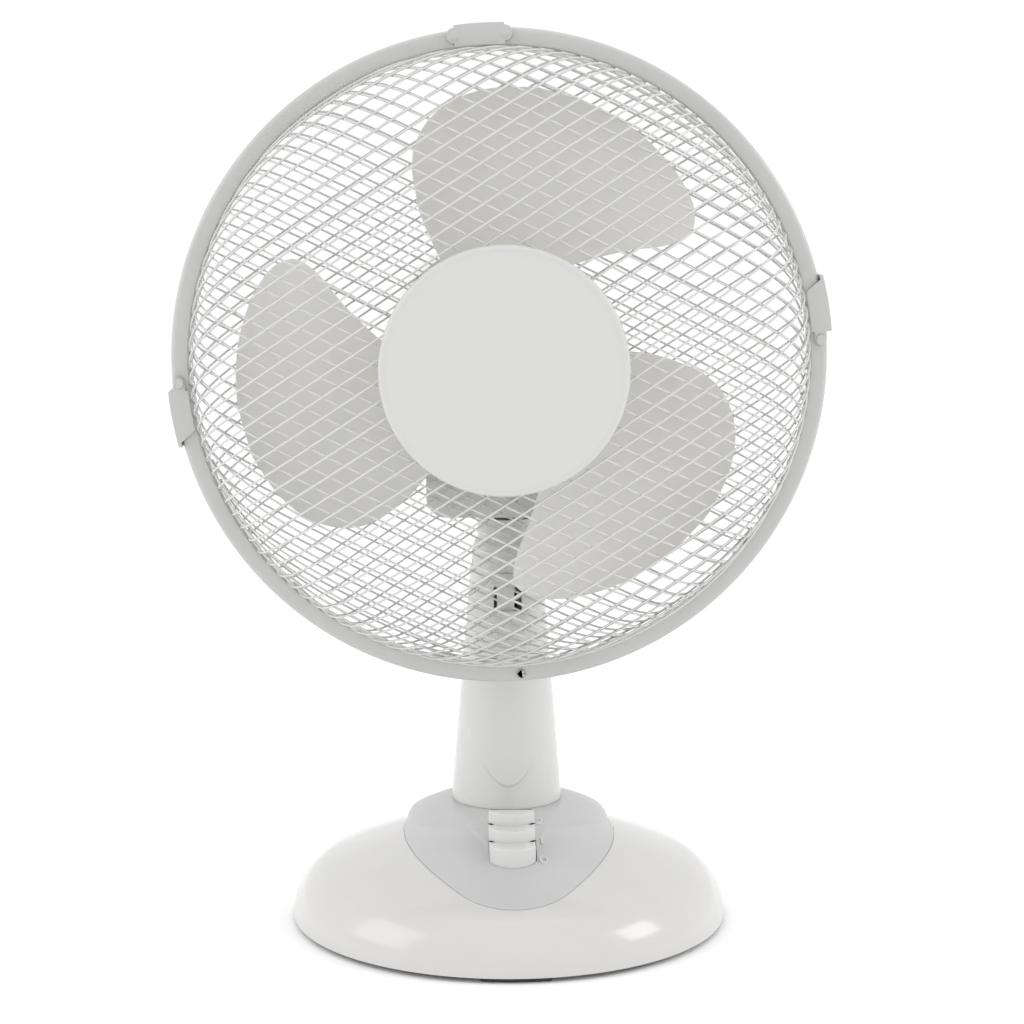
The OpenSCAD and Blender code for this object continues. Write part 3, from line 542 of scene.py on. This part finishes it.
# ---- Feet, inlet and small base fittings ----
# Rubber feet pushed into the steel floor plate, the ABS cord inlet at the back, and the tilt bolt with its nut.
def shader_inputs(material):
    """The inputs of a material's Principled shader."""
    return material.node_tree.nodes["Principled BSDF"].inputs


def plain_finish(name, colour, roughness, metallic=0.0, grain_mm=1.0, grain_depth=0.02, mottle=0.04):
    """A finish with a fine grain and a faint cloud of lighter and darker patches, metal or not."""
    material = moulded_plastic(name, colour, roughness, 0.0, grain_mm, grain_depth, mottle)
    shader_inputs(material)["Metallic"].default_value = metallic
    shader_inputs(material)["IOR"].default_value = 1.5
    return material


# Moulded rubber is near black, dry and grainy. Zinc-plated steel is a blue-grey mirror broken up by fine crystals.
foot_rubber = plain_finish("black_foot_rubber", "#3a3a3b", 0.75, grain_mm=0.8, grain_depth=0.05)
zinc_steel = plain_finish("zinc_plated_steel", "#c3c5c6", 0.42, metallic=1.0, grain_mm=0.6, mottle=0.08)
dress("rubber_feet", "rubber_feet_pads", "base", foot_rubber, 0.4)
dress("cord_inlet", "cord_inlet_bush", "base", neck_nylon, 0.4)
dress("tilt_bolt", "tilt_bolt_steel", "base", zinc_steel, 0.3)
dress("tilt_nut", "tilt_nut_steel", "base", zinc_steel, 0.3)


# ---- Motor covers ----
# Two ABS halves that close round the motor and the swing gear, held by two screws from the back. The rear half
# is rounded like a ball and slotted for air.
# ABS from a finely textured mould: the whitest of the plastics, with a soft sheen.
cover_abs = moulded_plastic("satin_white_cover_abs", "#dcdcda", 0.32, coat=0.12, mottle=0.012)
dress("motor_front_cover", "motor_cover_front", "head", cover_abs, 0.9, 28)
dress("motor_rear_cover", "motor_cover_rear", "head", cover_abs, 0.6, 28)
dress("clutch_knob", "clutch_knob_cap", "clutch_knob", cover_abs, 0.6)
dress("cover_screws", "cover_screws_steel", "head", zinc_steel, 0.2)


# ---- Guard rings and badge ----
# The front ring is a rolled steel band, painted white, that hooks over the rear ring's wire. The badge is an
# ABS disc with a bevelled rim, screwed through the front mesh to a backing disc.
badge_low, badge_high = box_mm("badge_disc")
axis_x, axis_z = (badge_low[0] + badge_high[0]) / 2, (badge_low[2] + badge_high[2]) / 2
round_turn = np.linspace(0, 2 * math.pi, 288, endpoint=False)


def lathe(name, profile, material, closed=True, poles=()):
    """A profile of (radius, y) points carried round the motor's axis. It runs outwards over the front, back
    along the outside, and inwards over the rear, so that the surface faces outwards."""
    r, y = np.asarray(profile, float).T
    points = np.stack([axis_x + np.outer(r, np.cos(round_turn)), np.repeat(y[:, None], len(round_turn), 1),
                       axis_z + np.outer(r, np.sin(round_turn))], -1)
    return grid_piece(name, points, material, wrap_u=closed, wrap_v=True, poles=poles)


def rounded(corners, radii, steps=5):
    """A closed polygon with each corner replaced by an arc-like curve that starts and ends a radius away from
    the corner along its sides: (1-t)^2 a + 2t(1-t) corner + t^2 b."""
    corners = np.asarray(corners, float)
    out = []
    for i, (corner, radius) in enumerate(zip(corners, radii)):
        before, after = corners[i - 1] - corner, corners[(i + 1) % len(corners)] - corner
        a = corner + before / np.hypot(*before) * radius
        b = corner + after / np.hypot(*after) * radius
        t = np.linspace(0, 1, steps)[:, None]
        out.append((1 - t) ** 2 * a + 2 * t * (1 - t) * corner + t ** 2 * b)
    return np.vstack(out)


# Steel with baked powder enamel: a thick, slightly wavy white skin under a clear gloss.
enamel = plain_finish("white_powder_enamel_steel", "#bcbcbb", 0.34, grain_mm=0.9, grain_depth=0.03, mottle=0.015)
shader_inputs(enamel)["Coat Weight"].default_value = 0.25
ring_low, ring_high = box_mm("front_guard_ring")
ring_r, ring_front, ring_back = (ring_high[0] - ring_low[0]) / 2, ring_low[1], ring_high[1]
ring_profile = rounded([(ring_r - 7.3, ring_front), (ring_r, ring_front), (ring_r, ring_back),
                        (ring_r - 1.5, ring_back), (ring_r - 1.6, ring_front + 1.7),
                        (ring_r - 7.3, ring_front + 1.6)], [0.7, 2.2, 0.6, 0.6, 0.8, 0.7])
ring = lathe("guard_ring_band", ring_profile, enamel)
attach(ring, "head")
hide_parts("front_guard_ring")

rear_low, rear_high = box_mm("rear_guard_ring")
rear_y, rear_half = (rear_low[1] + rear_high[1]) / 2, (rear_high[1] - rear_low[1]) / 2
rear_r, rear_half_w = 135.0, 2.35
phase = np.linspace(0, 2 * math.pi, 20, endpoint=False)
rear_profile = np.stack([rear_r - rear_half_w * np.cos(phase), rear_y - rear_half * np.sin(phase)], 1)
rear_ring = lathe("rear_guard_ring_wire", rear_profile, enamel)
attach(rear_ring, "head")
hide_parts("rear_guard_ring")
dress("rear_guard_seat", "rear_guard_seat_disc", "head", enamel, 0.3)
dress("guard_nut", "guard_nut_grip", "head", cover_abs, 0.4)
dress("badge_backing", "badge_backing_disc", "head", neck_nylon, 0.3)

# ABS from a finely blasted mould: nearly matt, so the flat disc is one even tone.
badge_abs = moulded_plastic("fine_matt_white_abs", "#cbcbc9", 0.42, coat=0.15, grain_mm=0.9, grain_depth=0.02,
                            mottle=0.006)
badge_r, badge_front = (badge_high[0] - badge_low[0]) / 2, badge_low[1]
badge_profile = np.vstack([
    [(0.3, badge_front + 0.5)], [(r, badge_front + 0.5) for r in np.linspace(4, badge_r - 2.6, 12)],
    [(badge_r - 2.2, badge_front + 0.42), (badge_r - 1.9, badge_front + 0.12), (badge_r - 1.5, badge_front),
     (badge_r - 0.95, badge_front + 0.18), (badge_r - 0.45, badge_front + 0.65), (badge_r - 0.1, badge_front + 1.3),
     (badge_r, badge_front + 1.9), (badge_r, badge_front + 3.7), (badge_r - 0.2, badge_front + 3.8),
     (badge_r - 1.8, badge_front + 3.8), (badge_r - 2, badge_front + 3.7), (badge_r - 2, badge_front + 2.6),
     (30, badge_front + 2.4), (0.3, badge_front + 2.4)]])
badge = lathe("badge_plate", badge_profile, badge_abs, closed=False, poles=(0, -1))
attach(badge, "head")
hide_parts("badge_disc")


# ---- Hook, clips and ring screw ----
# Pressed steel fittings, painted with the ring: the fixed hook on top, a swinging clip on each side with its
# rivet, and one plated screw at the bottom.
dress("top_hook", "ring_hook", "head", enamel, 0.35)
dress("clip_right", "ring_clip_right", "clip_right", enamel, 0.35)
dress("clip_left", "ring_clip_left", "clip_left", enamel, 0.35)
dress("clip_rivets", "clip_rivet_heads", "head", enamel, 0.3)
hook_front = box_mm("top_hook")[0][1]
rivet_turn, rivet_fall = np.linspace(0, 2 * math.pi, 40, endpoint=False), np.linspace(0.06, math.pi / 2, 8)
hook_angle, hook_r, rivet_aside, rivet_r = math.radians(93.7), 136.95, 10.6, 3.1
for side, name in ((-1, "hook_rivet_right"), (1, "hook_rivet_left")):
    centre_x = axis_x + hook_r * math.cos(hook_angle) - side * rivet_aside * math.sin(hook_angle)
    centre_z = axis_z + hook_r * math.sin(hook_angle) + side * rivet_aside * math.cos(hook_angle)
    head_r = np.concatenate([rivet_r * np.sin(rivet_fall), [rivet_r, 0.1]])
    head_y = hook_front + np.concatenate([1.0 - 1.5 * np.cos(rivet_fall), [1.3, 1.3]])
    dome = np.stack([centre_x + np.outer(head_r, np.cos(rivet_turn)),
                     np.repeat(head_y[:, None], len(rivet_turn), 1),
                     centre_z + np.outer(head_r, np.sin(rivet_turn))], -1)
    rivet = grid_piece(name, dome, enamel, wrap_v=True, poles=(0, -1), smooth_deg=60)
    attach(rivet, "head")
dress("ring_screw", "ring_screw_steel", "head", zinc_steel, 0.12)


# ---- Guard wires ----
# Two families of enamelled steel wire, welded flat at sixty degrees to each other and then drawn into a dome.
# The front dome is deep with a full turn at its rim; the rear one is shallower and stops at its seat.
# Steel wire dipped in enamel: smooth and round, with a thin bright line along each wire.
wire_enamel = plain_finish("white_dipped_enamel_wire", "#cfcfce", 0.34, grain_mm=0.5, grain_depth=0.01, mottle=0.02)
shader_inputs(wire_enamel)["Coat Weight"].default_value = 0.3
mesh_rim, mesh_order, wire_r, wire_pitch, guard_roll = 132.5, 2.9, 0.5, 7.2, 3.7
seat_hole_r, wire_start_r = 30.2, 29.0
wire_points, first_layer, layer_step = 97, -0.55, -0.9


def dome_meridian(depth):
    """Table of the dome's meridian: arc length, radius and depth, from radius = R sin(a)^(2/n) and
    depth = D cos(a)^(2/n), with its outward normal."""
    a = np.linspace(0, math.pi / 2, 6000)
    r = mesh_rim * np.sin(a) ** (2 / mesh_order)
    d = depth * np.cos(a) ** (2 / mesh_order)
    s = np.concatenate([[0], np.cumsum(np.hypot(np.diff(r), np.diff(d)))])
    dr, dd = np.gradient(r, s + a * 1e-9), np.gradient(d, s + a * 1e-9)
    size = np.hypot(dr, dd)
    return s, r, d, -dd / size, dr / size


def wire_tubes(name, paths, normals, material, sides=6):
    """Tubes along paths (wires x points x 3): a ring of radius wire_r in the plane of the path's own normal and
    the cross product of its direction with that normal, closed at both ends."""
    along = np.gradient(paths, axis=1)
    along /= np.linalg.norm(along, axis=-1, keepdims=True)
    across = np.cross(along, normals)
    across /= np.linalg.norm(across, axis=-1, keepdims=True)
    up = np.cross(across, along)
    phi = np.linspace(0, 2 * math.pi, sides, endpoint=False)
    rings = paths[:, :, None] + wire_r * (np.cos(phi)[:, None] * up[:, :, None] +
                                          np.sin(phi)[:, None] * across[:, :, None])
    wires, count = paths.shape[:2]
    index = np.arange(wires * count * sides).reshape(wires, count, sides)
    turned = np.roll(index, -1, 2)
    quads = np.stack([index[:, :-1], turned[:, :-1], turned[:, 1:], index[:, 1:]], -1).reshape(-1, 4)
    return mesh_piece(name, rings.reshape(-1, 3), [quads, index[:, 0, ::-1], index[:, -1]], material, 80)


def guard_sheet(name, depth, start_y, towards, hole_r):
    """One dome of the guard: straight wires on a flat sheet, a pitch apart in two directions, carried onto the
    dome so that distance from the centre becomes arc length along the meridian and the angle stays."""
    s, r, d, n_r, n_d = dome_meridian(depth)
    reach, hole = s[-1], np.interp(hole_r, r, s) if hole_r else 0
    paths, normals = [], []
    for family, tilt in enumerate((guard_roll + 30, guard_roll - 30)):
        count = int(reach / wire_pitch)
        offset = (np.arange(-count, count + 1) + 0.5 * (family == 0)) * wire_pitch
        offset = offset[np.abs(offset) < reach - 2]
        half = np.sqrt(reach ** 2 - offset ** 2)
        t = half[:, None] * np.sin(np.linspace(-1, 1, wire_points) * math.pi / 2)
        if hole:
            inner = np.sqrt(np.maximum(hole ** 2 - offset ** 2, 0))
            crossed = inner > 0
            step = 1 - np.cos(np.linspace(0, 1, wire_points) * math.pi / 2)
            rays = inner[crossed, None] + (half[crossed] - inner[crossed])[:, None] * (1 - step[::-1])
            t = np.vstack([t[~crossed], rays, -rays])
            offset = np.concatenate([offset[~crossed], offset[crossed], offset[crossed]])
        c, w = math.cos(math.radians(tilt)), math.sin(math.radians(tilt))
        x, z = t * c - offset[:, None] * w, t * w + offset[:, None] * c
        flat = np.hypot(x, z)
        cos_a, sin_a = x / np.maximum(flat, 1e-6), z / np.maximum(flat, 1e-6)
        lift = first_layer + layer_step * family
        radius = np.interp(flat, s, r) + lift * np.interp(flat, s, n_r)
        out = np.maximum(np.interp(flat, s, d) + lift * np.interp(flat, s, n_d), wire_r)
        paths.append(np.stack([axis_x + radius * cos_a, start_y + towards * out, axis_z + radius * sin_a], -1))
        normals.append(np.stack([np.interp(flat, s, n_r) * cos_a, towards * np.interp(flat, s, n_d),
                                 np.interp(flat, s, n_r) * sin_a], -1))
    sheet = wire_tubes(name, np.vstack(paths), np.vstack(normals), wire_enamel)
    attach(sheet, "head")
    return sheet


front_low, front_high = box_mm("front_guard_mesh")
front = guard_sheet("front_guard_wires", front_high[1] - front_low[1], front_high[1], -1, 0)
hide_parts("front_guard_mesh")
back_low, back_high = box_mm("rear_guard_mesh")
back_depth = (back_high[1] - back_low[1]) / (1 - (seat_hole_r / mesh_rim) ** mesh_order) ** (1 / mesh_order)
back = guard_sheet("rear_guard_wires", back_depth, back_low[1], 1, wire_start_r)
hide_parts("rear_guard_mesh")


# ---- Impeller ----
# Three broad, sickle-shaped blades moulded in one with their hub from unpigmented polypropylene, milky and a
# little translucent, with the spinner nut that holds them on the shaft.
front_edge = np.array([[24, 62], [40, 57], [52, 51], [71, 40.5], [85, 34.7], [95, 33.4], [101, 35], [106, 39.5],
                       [110, 48], [113, 58], [115.3, 69], [116.5, 81]], float)
rear_edge = np.array([[24, 121], [40, 121.8], [52, 121.2], [68, 119.4], [80, 116.9], [91, 114.3], [100, 110.5],
                      [107, 105.5], [112, 99.5], [115, 92], [116.5, 83]], float)
blade_rows, blade_cols, blade_half_t = 90, 40, 0.8
blade_y, blade_pitch, blade_crown, blade_mid, blade_half_angle = -45, 15, 3, 76, 38


def smooth_edge(table, count):
    """The edge's points as a smooth curve: a cubic through the table by Catmull and Rom's rule, sampled evenly
    in plan."""
    radians = np.radians(table[:, 1])
    knots = np.stack([table[:, 0] * np.cos(radians), table[:, 0] * np.sin(radians)], 1)
    padded = np.vstack([2 * knots[0] - knots[1], knots, 2 * knots[-1] - knots[-2]])
    t = np.linspace(0, 1, 24, endpoint=False)[:, None, None]
    a, b, c, d = padded[:-3], padded[1:-2], padded[2:-1], padded[3:]
    curve = 0.5 * (2 * b + (c - a) * t + (2 * a - 5 * b + 4 * c - d) * t ** 2 + (3 * b - a - 3 * c + d) * t ** 3)
    curve = np.vstack([curve.transpose(1, 0, 2).reshape(-1, 2), knots[-1:]])
    length = np.concatenate([[0], np.cumsum(np.hypot(*np.diff(curve, axis=0).T))])
    even = np.linspace(0, length[-1], count)
    x, y = np.interp(even, length, curve[:, 0]), np.interp(even, length, curve[:, 1])
    return np.hypot(x, y), np.degrees(np.arctan2(y, x))


def blade_points(turned):
    """A blade as closed loops from root to tip: each loop runs across the front from the one edge to the other
    and back behind, and its height is -45 + 15k + 3(1 - k^2) with k = (angle - 76) / 38, thinning to round
    edges as a superellipse."""
    r_a, a_a = smooth_edge(front_edge, blade_rows)
    r_b, a_b = smooth_edge(rear_edge, blade_rows)
    t = smooth_step((1 - np.cos(np.linspace(0, math.pi, blade_cols))) / 2)
    loop = np.concatenate([t, t[-2:0:-1]])
    side = np.concatenate([np.ones(blade_cols), -np.ones(blade_cols - 2)])
    r = r_a[:, None] * (1 - loop) + r_b[:, None] * loop
    a = a_a[:, None] * (1 - loop) + a_b[:, None] * loop
    k = (a - blade_mid) / blade_half_angle
    thick = blade_half_t * (1 - np.abs(2 * loop - 1) ** 30) ** (1 / 3)
    taper = np.minimum(1, (np.linspace(blade_rows, 0, blade_rows)[:, None] + 2) / 5)
    y = blade_y + blade_pitch * k + blade_crown * (1 - k * k) - side * thick * taper
    angle = np.radians(a + turned)
    return np.stack([axis_x + r * np.cos(angle), y, axis_z + r * np.sin(angle)], -1)


# Unpigmented polypropylene: milky and a little see-through, so that it looks darker than the paint before it.
blade_pp = moulded_plastic("milky_polypropylene", "#dfdeda", 0.36, coat=0.0, mottle=0.01, sss=0.35)
shader_inputs(blade_pp)["Transmission Weight"].default_value = 0.12
blades = [grid_piece(f"fan_blade_{i + 1}", blade_points(-120 * i), blade_pp, wrap_v=True, poles=(0, -1))
          for i in range(3)]
hub_y, hub_r, hub_len, hub_wall, hub_web = -62.0, 26.0, 26, 2, 2.4
bore_r, boss_r, boss_len = 5, 9, 22
hub_profile = rounded([(bore_r, hub_y), (hub_r, hub_y), (hub_r, hub_y + hub_len), (hub_r - hub_wall, hub_y + hub_len),
                       (hub_r - hub_wall, hub_y + hub_web), (boss_r, hub_y + hub_web), (boss_r, hub_y + boss_len),
                       (bore_r, hub_y + boss_len)], [0.3, 2.5, 0.8, 0.8, 1.2, 1.0, 0.5, 0.5])
blades.append(lathe("impeller_hub", hub_profile, blade_pp))
for piece in blades:
    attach(piece, "rotor")
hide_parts("impeller")
dress("spinner_cap", "spinner_nut", "rotor", cover_abs, 0.5)


# ---- Hidden works ----
# The motor, gear train, switch, weight and fixings inside, each in the finish of its own stock: laminations,
# enamelled copper, brass, bronze, die-cast zinc, nylon gears and zinc-plated steel.
# Cast and sintered metals are dull and grainy, laminations dark with oil, copper warm under its varnish, the
# switch block a hard black, and the gears ivory and waxy.
stock = {
    "white_gloss_plastic": gloss_abs, "white_plastic": cover_abs, "grey_white_plastic": neck_nylon,
    "blade_plastic": blade_pp, "painted_wire": enamel, "zinc_steel": zinc_steel, "foot_rubber": foot_rubber,
    "cast_metal": plain_finish("die_cast_zinc", "#9d9fa0", 0.5, 1.0, 1.4, 0.08, 0.1),
    "lamination_steel": plain_finish("oiled_lamination_steel", "#6d6f72", 0.45, 1.0, 0.5, 0.05, 0.1),
    "copper_wire": plain_finish("enamelled_copper_wire", "#b4683a", 0.35, 1.0, 0.6, 0.1, 0.12),
    "bronze": plain_finish("sintered_bronze", "#a07a4a", 0.55, 1.0, 0.4, 0.05, 0.1),
    "black_plastic": plain_finish("black_phenolic", "#252526", 0.5, 0.0, 0.9, 0.03, 0.05),
    "gear_plastic": plain_finish("ivory_gear_nylon", "#e3dcc6", 0.45, 0.0, 0.9, 0.03, 0.03)}
for row in frame["record"]["subparts"]:
    for material_slot in nodes[row["node"]].material_slots:
        material_slot.material = stock[row["material_slot"]]


# ---- Studio ----
# A pale seamless floor under an even white dome of light, with large soft boxes from above left and the right.
# Matt paper: it reflects nothing, so the floor runs on into the white behind it.
floor_material, _, floor_shader = new_material("pale_matt_paper")
floor_shader.inputs["Base Color"].default_value = linear("#ffffff")
floor_shader.inputs["Roughness"].default_value = 0.9
floor_mesh = bpy.data.meshes.new("floor")
floor_mesh.from_pydata([(-6, -6, 0), (6, -6, 0), (6, 6, 0), (-6, 6, 0)], [], [(0, 1, 2, 3)])
floor_mesh.materials.append(floor_material)
floor = bpy.data.objects.new("floor", floor_mesh)
scene.collection.objects.link(floor)
floor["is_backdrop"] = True


def soft_box(name, place, aim, size, power):
    """A square area light at a place, turned towards the point it lights."""
    light = bpy.data.lights.new(name, "AREA")
    light.shape, light.size, light.energy = "SQUARE", size, power
    lamp = bpy.data.objects.new(name, light)
    lamp.location = place
    direction = np.array(aim) - np.array(place)
    lamp.rotation_euler = (math.atan2(math.hypot(direction[0], direction[1]), -direction[2]), 0,
                           math.atan2(direction[0], -direction[1]) + math.pi)
    scene.collection.objects.link(lamp)


soft_box("left_soft_box", (-1.9, -0.55, 1.1), (0, 0, 0.1), 1.3, 8.5)
soft_box("right_soft_box", (1.9, -0.5, 1.1), (0, 0, 0.1), 0.8, 7.5)
soft_box("overhead_soft_box", (0, 0.2, 2.2), (0, 0, 0.2), 1.8, 4)
world = bpy.data.worlds.new("white_studio")
world.use_nodes = True
world.node_tree.nodes["Background"].inputs["Color"].default_value = (1, 1, 1, 1)
world.node_tree.nodes["Background"].inputs["Strength"].default_value = 1.02
scene.world = world
scene.view_settings.view_transform = "Standard"

low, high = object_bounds()
